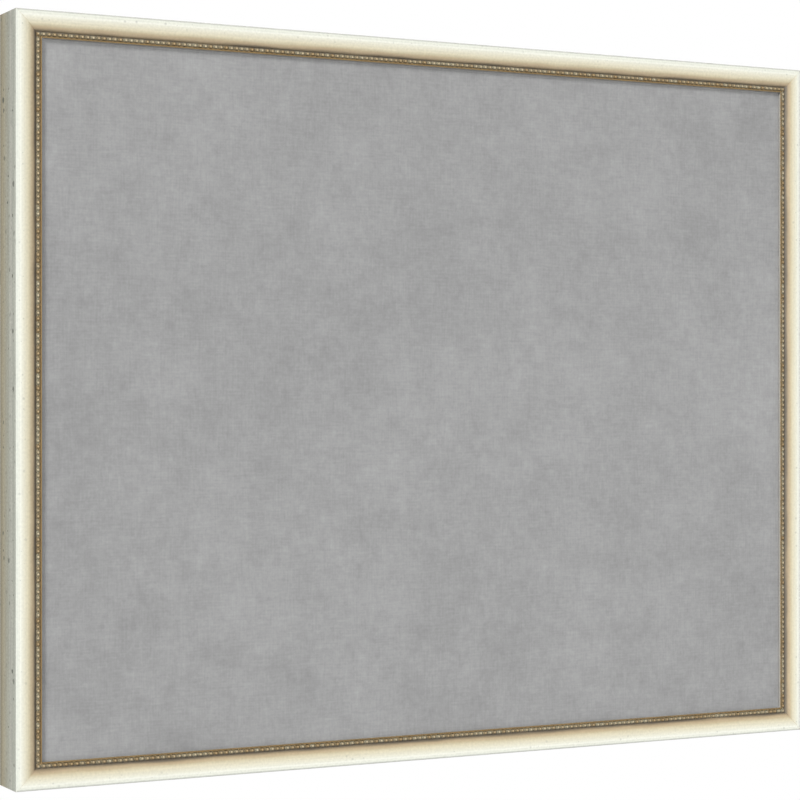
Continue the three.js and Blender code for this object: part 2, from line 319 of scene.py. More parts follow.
brush = mottle(tree, place, (BRUSH_LENGTH_MM, BRUSH_MM, BRUSH_MM))
grain = mottle(tree, place, (GRAIN_MM,) * 3)
brushed = varied(tree, glaze_and_painted_light.outputs["Color"], brush, darkest=0.965, lightest=1.035)
grained = varied(tree, brushed, grain, darkest=0.93, lightest=1.045)
spots = specks(tree, along, across, SPECK_SPACING_MM, SPECK_MM, share=0.6, wobble=SPECK_WOBBLE_MM)
edge = add_node(tree, "ShaderNodeMapRange", {
    "From Min": SPECK_EDGE_MM[0], "From Max": SPECK_EDGE_MM[1],
    "To Min": SPECK_STRENGTH[0], "To Max": SPECK_STRENGTH[1],
}, {"Value": across})
faded = add_node(tree, "ShaderNodeMath", {"operation": "MULTIPLY"}, {0: spots, 1: edge.outputs[0]})
spotted = add_node(tree, "ShaderNodeMix", {"data_type": "RGBA", 7: linear("#6f7064")}, {
    0: faded.outputs[0], 6: grained,
})
tree.links.new(spotted.outputs[2], shader.inputs["Base Color"])
relief(tree, shader, [brush, grain], strength=0.3, depth_mm=0.05)
print("ivory paint:", len(tree.nodes), "nodes")

# %% [markdown]
# ## Washed sides, with painted shade
# The outer sides are not ivory. They have a grey-green wash dragged on with a nearly dry brush,
# which turns to tan towards the wall, and small dark flecks where the brush was flicked. A ramp
# over the depth gives the wash, and painted shade with it: the whole side is kept darker than the
# face, as a side turned away from the front looks. Noise drawn out along the length gives the drag.
# The streaks are long and about a millimetre wide; the flecks are up to three millimetres.

# %% Washed side paint and painted shade
SIDE_MM = 28.6
# The wash over the depth, in mm from the crest, with painted shade in every stop: the side is kept
# darker than the face.
WASH_AND_PAINTED_SHADE = [
    (0.0, "#bcbdb3"), (2.0, "#b7b8ae"), (4.0, "#a7a99d"), (6.5, "#a8aa9e"), (9.5, "#b4b3a9"),
    (13.0, "#9e9f91"), (17.0, "#9d9b8b"), (22.0, "#9d967e"), (25.0, "#90876f"), (27.0, "#7e765f"),
    (28.6, "#7a715b"),
]
STREAK_LENGTH_MM = 260.0
STREAK_MM = 2.2
RUB_LENGTH_MM = 25.0
RUB_MM = 1.4
FLECK_SPACING_MM = 8.0
FLECK_MM = 1.6
FLECK_WOBBLE_MM = 1.8

side_paint_and_painted_shade, tree, shader = new_material("washed_side_paint_and_painted_shade", {"Roughness": 0.6, "IOR": 1.5})
place = add_node(tree, "ShaderNodeAttribute", {"attribute_name": "moulding"}).outputs["Vector"]
along, _, drop = add_node(tree, "ShaderNodeSeparateXYZ", links={0: place}).outputs
share = add_node(tree, "ShaderNodeMath", {"operation": "DIVIDE", 1: SIDE_MM}, {0: drop})
wash_and_painted_shade = add_node(tree, "ShaderNodeValToRGB", {
    "stops": [(mm / SIDE_MM, colour) for mm, colour in WASH_AND_PAINTED_SHADE],
}, {"Fac": share.outputs[0]})
streak = mottle(tree, place, (STREAK_LENGTH_MM, STREAK_MM, STREAK_MM))
rub = mottle(tree, place, (RUB_LENGTH_MM, RUB_MM, RUB_MM))
grain = mottle(tree, place, (GRAIN_MM,) * 3)
streaked = varied(tree, wash_and_painted_shade.outputs["Color"], streak, darkest=0.88, lightest=1.12)
rubbed = varied(tree, streaked, rub, darkest=0.85, lightest=1.1)
grained = varied(tree, rubbed, grain, darkest=0.8, lightest=1.14)
flecks = specks(tree, along, drop, FLECK_SPACING_MM, FLECK_MM, share=0.7, wobble=FLECK_WOBBLE_MM)
flecked = add_node(tree, "ShaderNodeMix", {"data_type": "RGBA", 7: linear("#434639")}, {
    0: flecks, 6: grained,
})
tree.links.new(flecked.outputs[2], shader.inputs["Base Color"])
relief(tree, shader, [rub, grain], strength=0.4, depth_mm=0.08)
print("side paint:", len(WASH_AND_PAINTED_SHADE), "tones over", SIDE_MM, "mm")

# %% [markdown]
# ## Grey primer
# The narrow inner edge of the lip faces the sheet and never took the leaf. It keeps the primer,
# a flat warm grey that is close to the sheet's own, so that the lip reads as one gilt line. Leaf on
# this face too would be less work, but would show as a second line beside the sheet.

# %% Grey primer
primer, tree, shader = new_material("grey_primer", {"Roughness": 0.8, "IOR": 1.5})
place = add_node(tree, "ShaderNodeAttribute", {"attribute_name": "moulding"}).outputs["Vector"]
drag = mottle(tree, place, (RUB_LENGTH_MM, GRAIN_MM, GRAIN_MM))
undercoat = add_node(tree, "ShaderNodeValToRGB", {
    "stops": [(0.3, "#99958d"), (0.7, "#aca8a0")],
}, {"Fac": drag})
tree.links.new(undercoat.outputs["Color"], shader.inputs["Base Color"])
print("primer:", len(tree.nodes), "nodes")

# %% [markdown]
# ## Gilt lip
# The lip is bronze leaf over a red-brown ground, rubbed back and toned. Leaf is a metal, so the
# metallic value is high, but the toning dulls it: a full metallic value would mirror the white
# room. The tarnish is a soft noise, three times as long as it is wide, because the rag ran along
# the lip.

# %% Toned bronze leaf
TARNISH_MM = 5.0

lip_leaf, tree, shader = new_material("toned_bronze_leaf", {"Metallic": 0.6, "Roughness": 0.42})
place = add_node(tree, "ShaderNodeAttribute", {"attribute_name": "moulding"}).outputs["Vector"]
rub = mottle(tree, place, (3 * TARNISH_MM, TARNISH_MM, TARNISH_MM), detail=5.0)
leaf = add_node(tree, "ShaderNodeValToRGB", {
    "stops": [(0.3, "#7a6745"), (0.5, "#836c47"), (0.7, "#8b744c")],
}, {"Fac": rub})
tree.links.new(leaf.outputs["Color"], shader.inputs["Base Color"])
print("lip leaf:", len(tree.nodes), "nodes")

# %% [markdown]
# ## Gilt beads
# The beads carry the same leaf, rubbed with wire wool and toned. The tone gathers round the foot
# of each bead, and the colour holds painted light too: a painted highlight, a bright cap on each
# bead's top, and painted light in the gaps between beads, lighter than the tone, against the shade
# that falls there. So the colour can't be one for the whole strip. Each strip carries an attribute
# that is 1 on a bead's top and 0 between beads, and a ramp turns it into the tone and the painted
# light. How strongly the painted highlight and shade are drawn is set for each side, by the same
# attribute as the ivory's. Another attribute says how much each bead was rubbed; where it was
# rubbed least, the warm ground shows.

# %% Rubbed gilt and painted highlight
PAINTED_LIGHT_PIVOT = 0.45
PAINTED_LIGHT_LIMIT = 0.45

bead_gilt_and_painted_highlight, tree, shader = new_material("rubbed_gilt_and_painted_highlight", {"Metallic": 0.6})
height = add_node(tree, "ShaderNodeAttribute", {"attribute_name": "bead"}).outputs["Fac"]
place = add_node(tree, "ShaderNodeAttribute", {"attribute_name": "moulding"}).outputs["Vector"]
worn = mottle(tree, place, (GRAIN_MM,) * 3)
# Tone and painted light by the height on the bead: the stop at 0.72 is a painted highlight on each
# top, and the lighter stop at 0 is painted light in the gaps.
gilt_and_painted_highlight = add_node(tree, "ShaderNodeValToRGB", {
    "stops": [(0.0, "#9c9680"), (0.25, "#8c8671"), (0.42, "#948a75"), (0.72, "#baad90")],
}, {"Fac": height})
dulled = varied(tree, gilt_and_painted_highlight.outputs["Color"], worn, darkest=0.9, lightest=1.08)
handwork = add_node(tree, "ShaderNodeAttribute", {"attribute_name": "handwork"}).outputs["Vector"]
_, _, bead_light_by_side = add_node(tree, "ShaderNodeSeparateXYZ", links={0: handwork}).outputs
# Painted highlight and shade set for each side: above the pivot height a bead is lightened and
# below it darkened, by its side's own amount.
above = add_node(tree, "ShaderNodeMath", {"operation": "SUBTRACT", 1: PAINTED_LIGHT_PIVOT}, {0: height})
painted_light_amount = add_node(tree, "ShaderNodeMath", {"operation": "MULTIPLY"}, {
    0: above.outputs[0], 1: bead_light_by_side,
})
painted_light_on_beads = varied(tree, dulled, painted_light_amount.outputs[0], start=-PAINTED_LIGHT_LIMIT, end=PAINTED_LIGHT_LIMIT,
                    darkest=1 - PAINTED_LIGHT_LIMIT, lightest=1 + PAINTED_LIGHT_LIMIT)
rubbing = add_node(tree, "ShaderNodeAttribute", {"attribute_name": "rubbed"}).outputs["Fac"]
ground = add_node(tree, "ShaderNodeValToRGB", {"stops": [(0.0, "#e3d0b7"), (1.0, "#ffffff")]}, {
    "Fac": rubbing,
})
warmed = add_node(tree, "ShaderNodeMix", {"data_type": "RGBA", "blend_type": "MULTIPLY", 0: 1.0}, {
    6: painted_light_on_beads, 7: ground.outputs["Color"],
})
gloss = add_node(tree, "ShaderNodeMapRange", {
    "From Min": 0.35, "From Max": 0.8, "To Min": 0.85, "To Max": 0.42,
}, {"Value": height})
tree.links.new(warmed.outputs[2], shader.inputs["Base Color"])
tree.links.new(gloss.outputs[0], shader.inputs["Roughness"])
print("bead gilt:", len(tree.nodes), "nodes")

# %% [markdown]
# ## Bare poplar
# The rabbet and the back were never painted. Poplar is pale, greenish to straw coloured, with a
# plain straight grain. Ring after ring could be drawn, as in oak, but poplar hardly shows them, so
# two stretched noises are enough: broad bands and fine pores.

# %% Bare poplar
BAND_LENGTH_MM = 60.0
BAND_MM = 3.5
PORE_LENGTH_MM = 6.0
PORE_MM = 0.3

poplar, tree, shader = new_material("bare_poplar", {"Roughness": 0.75, "IOR": 1.5})
place = add_node(tree, "ShaderNodeAttribute", {"attribute_name": "moulding"}).outputs["Vector"]
bands = mottle(tree, place, (BAND_LENGTH_MM, BAND_MM, BAND_MM))
pores = mottle(tree, place, (PORE_LENGTH_MM, PORE_MM, PORE_MM))
wood = add_node(tree, "ShaderNodeValToRGB", {
    "stops": [(0.3, "#b89c6f"), (0.5, "#cbb388"), (0.7, "#d8c49c")],
}, {"Fac": bands})
grained = varied(tree, wood.outputs["Color"], pores, darkest=0.86, lightest=1.0, end=0.6)
tree.links.new(grained, shader.inputs["Base Color"])
relief(tree, shader, [pores], strength=0.3, depth_mm=0.05)
print("poplar:", len(tree.nodes), "nodes")

# %% [markdown]
# ## Powder-coated steel
# The sheet is mild steel with a matt grey powder coat. The powder lies slightly uneven at every
# size, from clouds as wide as a hand to the orange peel of a millimetre, so one noise with many
# octaves of equal strength gives its mottle. The sheet was wiped both ways before it was sprayed,
# and those faint marks still show, as short fine streaks. The peel is drawn coarser than the real
# one, so it shows.

# %% Powder-coated steel
CLOUD_MM = 150.0
CLOUD_OCTAVES = 6.0
PEEL_MM = 1.3
WIPE_MM = 1.1
WIPE_LENGTH_MM = 12.0

powder_coat, tree, shader = new_material("powder_coated_steel", {"Roughness": 0.62, "IOR": 1.5})
place = millimetres(tree)
clouds = mottle(tree, place, (CLOUD_MM,) * 3, detail=CLOUD_OCTAVES, roughness=1.0)
peel = mottle(tree, place, (PEEL_MM,) * 3, detail=2.0)
down = mottle(tree, place, (WIPE_MM, WIPE_MM, WIPE_LENGTH_MM))
level = mottle(tree, place, (WIPE_LENGTH_MM, WIPE_MM, WIPE_MM))
coat = add_node(tree, "ShaderNodeValToRGB", {"stops": [(0.0, "#727272"), (1.0, "#b1b1b1")]}, {
    "Fac": clouds,
})
wiped_down = varied(tree, coat.outputs["Color"], down, darkest=0.955, lightest=1.045)
wiped_level = varied(tree, wiped_down, level, darkest=0.955, lightest=1.045)
peeled = varied(tree, wiped_level, peel, darkest=0.96, lightest=1.04)
tree.links.new(peeled, shader.inputs["Base Color"])
relief(tree, shader, [peel], strength=0.25, depth_mm=0.08)
print("powder coat:", len(tree.nodes), "nodes")

# %% [markdown]
# ## Tempered hardboard
# The backing is hardboard: brown wood chips and matted fibres, pressed hot and oiled, with the
# print of the wire screen on the rear face. One noise gives the chips, two drawn out noises give
# fibres that lie both ways, and a wide one gives the stain of the oil. The print is two sine waves
# multiplied, which needs no mesh of its own.

# %% Tempered hardboard
CHIP_MM = 1.0
FIBRE_MM = 0.5
FIBRE_LENGTH_MM = 7.0
BLOTCH_MM = 24.0
SCREEN_MM = 2.4

hardboard, tree, shader = new_material("tempered_hardboard", {"Roughness": 0.8, "IOR": 1.5})
place = millimetres(tree)
chips = mottle(tree, place, (CHIP_MM,) * 3, detail=4.0)
upright = mottle(tree, place, (FIBRE_MM, FIBRE_MM, FIBRE_LENGTH_MM))
level = mottle(tree, place, (FIBRE_LENGTH_MM, FIBRE_MM, FIBRE_MM))
blotch = mottle(tree, place, (BLOTCH_MM,) * 3, detail=4.0)
brown = add_node(tree, "ShaderNodeValToRGB", {
    "stops": [(0.3, "#6b5038"), (0.5, "#7d5f42"), (0.7, "#8d6d4d")],
}, {"Fac": chips})
matted_up = varied(tree, brown.outputs["Color"], upright, darkest=0.88, lightest=1.1)
matted_across = varied(tree, matted_up, level, darkest=0.88, lightest=1.1)
stained = varied(tree, matted_across, blotch, darkest=0.92, lightest=1.07)
screen = add_node(tree, "ShaderNodeVectorMath", {
    "operation": "MULTIPLY", 1: (2 * math.pi / SCREEN_MM, 0.0, 2 * math.pi / SCREEN_MM),
}, {0: place})
waves = add_node(tree, "ShaderNodeVectorMath", {"operation": "SINE"}, {0: screen.outputs[0]})
wave = add_node(tree, "ShaderNodeSeparateXYZ", links={0: waves.outputs[0]})
weave = add_node(tree, "ShaderNodeMath", {"operation": "MULTIPLY"}, {
    0: wave.outputs[0], 1: wave.outputs[2],
})
tree.links.new(stained, shader.inputs["Base Color"])
relief(tree, shader, [weave.outputs[0]], strength=0.5, depth_mm=0.15)
print("hardboard:", len(tree.nodes), "nodes")

# %% [markdown]
# ## Zinc plate
# The nails, points and hangers are zinc-plated steel, a bright metal with a faint spangle. A plain
# metal would look like chrome, so the spangle varies both the colour and the gloss.

# %% Zinc plate
SPANGLE_MM = 0.9

zinc, tree, shader = new_material("zinc_plated_steel", {"Metallic": 1.0})
spangle = mottle(tree, millimetres(tree), (SPANGLE_MM,) * 3)
plate = add_node(tree, "ShaderNodeValToRGB", {"stops": [(0.3, "#9da0a2"), (0.7, "#c9cccd")]}, {
    "Fac": spangle,
})
satin = add_node(tree, "ShaderNodeMapRange", {
    "From Min": 0.3, "From Max": 0.7, "To Min": 0.25, "To Max": 0.45,
}, {"Value": spangle})
tree.links.new(plate.outputs["Color"], shader.inputs["Base Color"])
tree.links.new(satin.outputs[0], shader.inputs["Roughness"])
print("zinc plate:", len(tree.nodes), "nodes")

# %% [markdown]
# ## Moulded rubber
# The bumpers are moulded rubber, nearly black and almost matt, with the faint grey bloom that
# rubber gets as it ages. Pure black would hide their shape, so a noise lifts it here and there.

# %% Moulded rubber
BLOOM_MM = 0.9

rubber, tree, shader = new_material("moulded_rubber", {"Roughness": 0.85, "IOR": 1.52})
bloom = mottle(tree, millimetres(tree), (BLOOM_MM,) * 3, detail=4.0)
black = add_node(tree, "ShaderNodeValToRGB", {"stops": [(0.3, "#1f1f20"), (0.7, "#323234")]}, {
    "Fac": bloom,
})
tree.links.new(black.outputs["Color"], shader.inputs["Base Color"])
relief(tree, shader, [bloom], strength=0.3, depth_mm=0.04)
print("rubber:", len(tree.nodes), "nodes")

# %% [markdown]
# ## Sizes from the measured model
# The outline, the moulding's width and the depths come from the boxes of the measured pieces.
# Each side of the board has its own directions: along it, across it from the outer edge inwards,
# and drop from the crest backwards. One function turns such a place into a place in the room.

# %% Sides
top_low, top_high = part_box("top_rail")
left_low, left_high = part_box("left_stile")
bead_low, bead_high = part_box("bead_strip_top")
HALF_WIDTH = -left_low.x
HALF_HEIGHT = top_high.z
FACE = left_high.x - left_low.x
CREST_Y = top_low.y
DEPTH = top_high.y - top_low.y
BEAD_LINE = HALF_HEIGHT - (bead_low.z + bead_high.z) / 2
BEAD_TOP = bead_low.y - CREST_Y
SIDES = {
    "top": ("top_rail", 0.0), "right": ("right_stile", math.pi / 2),
    "bottom": ("bottom_rail", math.pi), "left": ("left_stile", -math.pi / 2),
}


def side_sizes(side):
    """Half the side's length, and its distance from the board's centre."""
    level = side in ("top", "bottom")
    return (HALF_WIDTH, HALF_HEIGHT) if level else (HALF_HEIGHT, HALF_WIDTH)


def side_matrix(side):
    """From (along, drop, minus across) to the room."""
    turn = Matrix.Rotation(SIDES[side][1], 4, "Y")
    return turn @ Matrix.Translation((0.0, CREST_Y, side_sizes(side)[1]))


def in_room(side, along, across, drop):
    """A place on a side as a place in the room."""
    return side_matrix(side) @ Vector((along, drop, -across))


print("outline, mm:", round(2 * HALF_WIDTH / MM, 1), round(2 * HALF_HEIGHT / MM, 1))

# %% [markdown]
# ## One way to make a piece
# Every piece goes through the same few steps: a mesh from points and faces, its normals outwards,
# its materials, smooth shading that keeps real edges sharp, and the body that carries it. A
# weighted normal modifier keeps wide flats flat beside narrow rounded edges.

# %% Make a piece
SHARP_ANGLE = math.radians(38)


def closed_mesh(name, points, faces, materials, face_slots=None):
    """A mesh from points and faces, with its materials, and its normals outwards."""
    mesh = bpy.data.meshes.new(name)
    mesh.from_pydata(points, [], faces)
    for material in materials:
        mesh.materials.append(material)
    if face_slots:
        mesh.polygons.foreach_set("material_index", face_slots)
    shape = bmesh.new()
    shape.from_mesh(mesh)
    bmesh.ops.recalc_face_normals(shape, faces=shape.faces)
    shape.to_mesh(mesh)
    shape.free()
    return mesh


def new_piece(name, points, faces, materials, node, body="board", face_slots=None):
    """A new mesh that stands for one measured piece."""
    mesh = closed_mesh(name, points, faces, materials, face_slots)
    piece = bpy.data.objects.new(name, mesh)
    bpy.context.scene.collection.objects.link(piece)
    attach(piece, body)
    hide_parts(node)
    return piece


def shade(piece):
    """Smooth shading, with sharp edges kept and wide faces flat."""
    piece.data.shade_smooth()
    piece.data.set_sharp_from_angle(angle=SHARP_ANGLE)
    weighted = piece.modifiers.new("flat_faces", "WEIGHTED_NORMAL")
    weighted.keep_sharp = True


# %% [markdown]
# ## Cutting holes and slots
# A slot could be drawn into every face that it meets, but a cutter is what the bench would use, and
# it needs no thought about the faces. The cutter is a straight or tapered shape that reaches a
# little past the surface. The cut is made once and kept, so the mesh is a plain closed one again.

# %% Cut a piece
TURN_STEPS = 48
OVERRUN = 1.0 * MM


def cut_away(piece, points, faces, material=0):
    """Cuts a closed shape out of a piece and applies the cut."""
    mesh = closed_mesh("cutter", points, faces, piece.data.materials, [material] * len(faces))
    cutter = bpy.data.objects.new("cutter", mesh)
    bpy.context.scene.collection.objects.link(cutter)
    boolean = piece.modifiers.new("cut", "BOOLEAN")
    boolean.operation = "DIFFERENCE"
    boolean.solver = "EXACT"
    boolean.object = cutter
    graph = bpy.context.evaluated_depsgraph_get()
    result = bpy.data.meshes.new_from_object(piece.evaluated_get(graph))
    piece.modifiers.remove(boolean)
    piece.data = result
    bpy.data.objects.remove(cutter)
    bpy.data.meshes.remove(mesh)


def circle(centre, radius):
    """Points of a circle in X and Z."""
    angles = [2 * math.pi * i / TURN_STEPS for i in range(TURN_STEPS)]
    return [(centre.x + radius * math.cos(a), centre.z + radius * math.sin(a)) for a in angles]


def prism(outline, low, high, taper=1.0):
    """A closed shape from an outline in X and Z, between two places along Y."""
    count = len(outline)
    middle_x = sum(x for x, z in outline) / count
    middle_z = sum(z for x, z in outline) / count
    points = [
        (middle_x + (x - middle_x) * scale, y, middle_z + (z - middle_z) * scale)
        for y, scale in ((low, taper), (high, 1.0)) for x, z in outline
    ]
    faces = [tuple(range(count)), tuple(range(2 * count - 1, count - 1, -1))]
    faces += [(i, i + count, (i + 1) % count + count, (i + 1) % count) for i in range(count)]
    return points, faces


# %% [markdown]
# ## The moulding's section
# The section is what a moulding cutter leaves: an eased outer edge, a low rounded crown that falls
# ever more steeply to the bead channel, and a small rounded lip. A few points hold the crown, as
# shares of its width and fall, and a smooth curve through them gives the fine section.

# %% Section outline
CROWN_WIDTH = 11.8 * MM
CROWN_FALL = 2.4 * MM
CHANNEL_WIDTH = 2.6 * MM
LIP_DROP = 1.3 * MM
LIP_ROUND = 0.28 * MM
SHOULDER_DROP = 3.3 * MM
RABBET = 4.7 * MM
EASE = 0.12 * MM
CURVE_STEPS = 5
ARC_STEPS = 5
CROWN_SHARES = [
    (0, 0.4), (0.012, 0.24), (0.04, 0.1), (0.09, 0.04), (0.16, 0.01), (0.25, 0), (0.36, 0.01),
    (0.47, 0.04), (0.58, 0.09), (0.68, 0.165), (0.78, 0.29), (0.87, 0.46), (0.93, 0.64),
    (0.97, 0.83), (1, 1),
]


def smooth_curve(points, steps):
    """A curve through points in a plane, of cubic pieces that share a slope where they meet."""
    padded = [points[0], *points, points[-1]]
    curve = []
    for i in range(1, len(padded) - 2):
        a, b, c, d = (Vector(p) for p in padded[i - 1:i + 3])
        for step in range(steps):
            t = step / steps
            curve.append(((2 * b) + (c - a) * t + (2 * a - 5 * b + 4 * c - d) * t ** 2
                          + (3 * b - a - 3 * c + d) * t ** 3) / 2)
    return [*curve, Vector(points[-1])]


def quarter_round(centre, radius, start, end):
    """Points of an arc, its angles in degrees."""
    angles = [math.radians(start + (end - start) * i / ARC_STEPS) for i in range(ARC_STEPS + 1)]
    across, drop = centre
    return [Vector((across + radius * math.cos(a), drop + radius * math.sin(a))) for a in angles]


def section_outline():
    """The section as (across, drop) points, with the finish that each edge carries."""
    crown = smooth_curve([(a * CROWN_WIDTH, d * CROWN_FALL) for a, d in CROWN_SHARES], CURVE_STEPS)
    crown = [Vector((max(a, 0.0), max(d, 0.0))) for a, d in crown]
    lip_start = CROWN_WIDTH + CHANNEL_WIDTH
    wall = FACE - RABBET
    outer_lip = quarter_round((lip_start + LIP_ROUND, LIP_DROP + LIP_ROUND), LIP_ROUND, 180, 270)
    inner_lip = quarter_round((FACE - LIP_ROUND, LIP_DROP + LIP_ROUND), LIP_ROUND, 270, 360)
    rear = [(FACE, SHOULDER_DROP), (wall, SHOULDER_DROP), (wall, DEPTH - EASE),
            (wall - EASE, DEPTH), (EASE, DEPTH), (0.0, DEPTH - EASE)]
    points = [*crown, Vector((lip_start, CROWN_FALL)), *outer_lip, *inner_lip, *map(Vector, rear)]
    finishes = ["paint"] * len(crown) + ["leaf"] * (len(outer_lip) + len(inner_lip)) + ["primer"]
    finishes += ["wood"] * (len(rear) - 1) + ["side"]
    return points, finishes


section, section_finishes = section_outline()
print("section points:", len(section))

# %% [markdown]
# ## Four mitred lengths
# Each length is the section drawn along its side and cut at 45 degrees, with a hair's breadth left
# for the glue. Each edge of the section becomes one long face, so the face takes the finish that
# the edge was given. The cut ends, the rabbet and the back stay bare wood.

# %% One mitred length
MITRE_GAP = 0.04 * MM
FINISHES = {
    "paint": ivory_paint_and_painted_light, "side": side_paint_and_painted_shade, "leaf": lip_leaf, "primer": primer, "wood": poplar,
}
FINISH_SLOTS = {name: slot for slot, name in enumerate(FINISHES)}


def moulding_length(side):
    """One mitred length, with its finishes."""
    half = side_sizes(side)[0]
    count = len(section)
    points = [
        in_room(side, end * (half - across - MITRE_GAP), across, drop)
        for end in (-1, 1) for across, drop in section
    ]
    faces = [tuple(range(count)), tuple(range(2 * count - 1, count - 1, -1))]
    faces += [(i, (i + 1) % count, (i + 1) % count + count, i + count) for i in range(count)]
    slots = [FINISH_SLOTS["wood"]] * 2 + [FINISH_SLOTS[finish] for finish in section_finishes]
    return new_piece(f"moulding_{side}", points, faces, list(FINISHES.values()), SIDES[side][0],
                     face_slots=slots)


print("finishes on a length:", ", ".join(FINISHES))

# %% [markdown]
# ## Where a point lies on its length
# Brush strokes run along a moulding and turn the corner with it, so its finishes need the place
# along it, across it and behind its crest. A mesh could be unwrapped for that, but here each point
# simply carries those three numbers as an attribute. A second attribute holds the painted shade set
# for that side, as told with the ivory paint: the spread of the cove's dark, the outer edge left
# without painted shade, and the strength of the beads' painted highlight and shade.

# %% Places that the finishes use
RUN_OFFSET_MM = 700.0
# Painted shade for each side, to even out how the key light falls on it: spread of the cove's dark
# in mm, outer edge left without painted shade in mm, strength of the beads' painted highlight and
# shade.
PAINTED_SHADE_BY_SIDE = {
    "top": (0.0, 0.0, 0.1), "right": (0.85, 0.0, -0.15), "bottom": (0.3, 0.6, -0.05),
    "left": (0.6, 0.93, -0.05),
}


def add_section_places(piece, side, index):
    """Stores each point's place along, across and behind the crest, and its painted shade."""
    mesh = piece.data
    places = mesh.attributes.new("moulding", "FLOAT_VECTOR", "POINT")
    inverse = side_matrix(side).inverted()
    for vertex, item in zip(mesh.vertices, places.data):
        along, drop, below = inverse @ vertex.co
        item.vector = (along / MM + index * RUN_OFFSET_MM, -below / MM, drop / MM)
    handwork = mesh.attributes.new("handwork", "FLOAT_VECTOR", "POINT")
    for item in handwork.data:
        item.vector = PAINTED_SHADE_BY_SIDE[side]


print("sides with their own handwork:", len(PAINTED_SHADE_BY_SIDE))

# %% [markdown]
# ## Slots and screw holes
# Three things are cut into each length from behind: slots for the framer's points, slots for the
# V-nails that hold the mitre, and on the two stiles the hole for the hanger's screw. All are sized
# from the measured nails, points and screws; the slots have a paper-thin clearance.

# %% Cut the four lengths
SLOT_CLEARANCE = 0.06 * MM
NAIL_THICKNESS = 0.5 * MM
HOLE_RADIUS = 1.6 * MM
HOLE_REST = 0.3 * MM
CORNERS = ["top_left", "top_right", "bottom_left", "bottom_right"]


def nail_outline(corner, row):
    """A V-nail's outline in X and Z, grown by the slot's clearance."""
    low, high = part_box(f"v_nail_{corner}_{row}")
    across = 1 if "left" in corner else -1
    down = -1 if "top" in corner else 1
    x0, x1 = (low.x, high.x) if across > 0 else (high.x, low.x)
    z0, z1 = (high.z, low.z) if down < 0 else (low.z, high.z)
    grow, wall = SLOT_CLEARANCE, NAIL_THICKNESS + SLOT_CLEARANCE
    outer_x, inner_x, end_x = x0 - across * grow, x0 + across * wall, x1 + across * grow
    outer_z, inner_z, end_z = z0 - down * grow, z0 + down * wall, z1 + down * grow
    return [(outer_x, outer_z), (end_x, outer_z), (end_x, inner_z), (inner_x, inner_z),
            (inner_x, end_z), (outer_x, end_z)]


for index, side in enumerate(SIDES):
    piece = moulding_length(side)
    wood = FINISH_SLOTS["wood"]
    for corner in (corner for corner in CORNERS if side in corner):
        for row in ("outer", "inner"):
            low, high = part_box(f"v_nail_{corner}_{row}")
            shape = prism(nail_outline(corner, row), low.y - SLOT_CLEARANCE, high.y + OVERRUN)
            cut_away(piece, *shape, wood)
    for name in sorted(n for n in frame["nodes"] if n.startswith(f"framer_point_{side}")):
        low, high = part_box(name)
        grow = Vector((SLOT_CLEARANCE,) * 3)
        low, high = low - grow, high + grow
        outline = [(low.x, low.z), (high.x, low.z), (high.x, high.z), (low.x, high.z)]
        cut_away(piece, *prism(outline, low.y, high.y), wood)
    if side in ("left", "right"):
        low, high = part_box(f"hanger_screw_{side}")
        outline = circle((low + high) / 2, HOLE_RADIUS)
        cut_away(piece, *prism(outline, low.y - HOLE_REST, high.y), wood)
    add_section_places(piece, side, index)
    shade(piece)
    print(piece.name, len(piece.data.vertices), "points")

# %% [markdown]
# ## Bead strips
# The beads are pressed composition, one domed bead after another on a thin ribbon, glued into the
# channel. Spheres dropped on a line would be quick, but they would not join, so each strip is one
# closed skin instead: a half-round section that swells over each bead and sinks between them.

# %% The form of a bead
BEAD_PITCH = 3.2 * MM
BEAD_HALF_WIDTH = 1.12 * MM
BEAD_HALF_LENGTH = 1.25 * MM
BEAD_FLOOR = CROWN_FALL
NECK_HALF_WIDTH = 0.7 * MM
NECK_HEIGHT = 0.5 * MM
DOME_STEPS = 12
DOME_FULLNESS = 0.8


def bead_swell(distance):
    """0 between beads and 1 at the middle of one, round in between."""
    share = min(abs(distance) / BEAD_HALF_LENGTH, 1.0)
    return math.sqrt(max(1.0 - share ** 2, 0.0))


def bead_section(swell):
    """The strip's section for a swell, as (across, height) points from one foot to the other."""
    width = NECK_HALF_WIDTH + (BEAD_HALF_WIDTH - NECK_HALF_WIDTH) * swell
    height = NECK_HEIGHT + (BEAD_FLOOR - BEAD_TOP - NECK_HEIGHT) * swell
    angles = [math.pi * i / DOME_STEPS for i in range(DOME_STEPS + 1)]
    return [(-width * math.cos(a), height * math.sin(a) ** DOME_FULLNESS) for a in angles]


print("bead height over the channel's floor, mm:", round((BEAD_FLOOR - BEAD_TOP) / MM, 2))

# %% [markdown]
# ## Strips cut by the mitre
# A strip runs past the corner by half a bead, and the mitre cuts it there, as a saw does. A plane
# cuts the mesh and the hole is filled, so the strip stays closed. Blender may list the faces of a
# cut mesh in another order each time, so they are sorted, and every run makes the same mesh.

# %% Bead strips
BEAD_STATIONS = 12
SAW_SNAP = 1e-7
BEAD_SHARP_ANGLE = math.radians(60)


def saw_mitre(shape, half, end):
    """Cuts a strip in (along, drop, minus across) with the mitre at one end, and closes it."""
    parts = [*shape.verts, *shape.edges, *shape.faces]
    cut = bmesh.ops.bisect_plane(
        shape, geom=parts, dist=SAW_SNAP, plane_co=(end * (half - MITRE_GAP), 0, 0),
        plane_no=(end, 0, -1), clear_outer=True,
    )["geom_cut"]
    rim = [part for part in cut if isinstance(part, bmesh.types.BMEdge)]
    bmesh.ops.holes_fill(shape, edges=rim)


def points_and_faces(shape):
    """A working shape's points and faces, in an order that is the same on every run."""
    shape.verts.index_update()
    points = [vertex.co.copy() for vertex in shape.verts]
    faces = []
    for face in shape.faces:
        corners = [vertex.index for vertex in face.verts]
        start = corners.index(min(corners))
        faces.append(corners[start:] + corners[:start])
    shape.free()
    return points, sorted(faces)


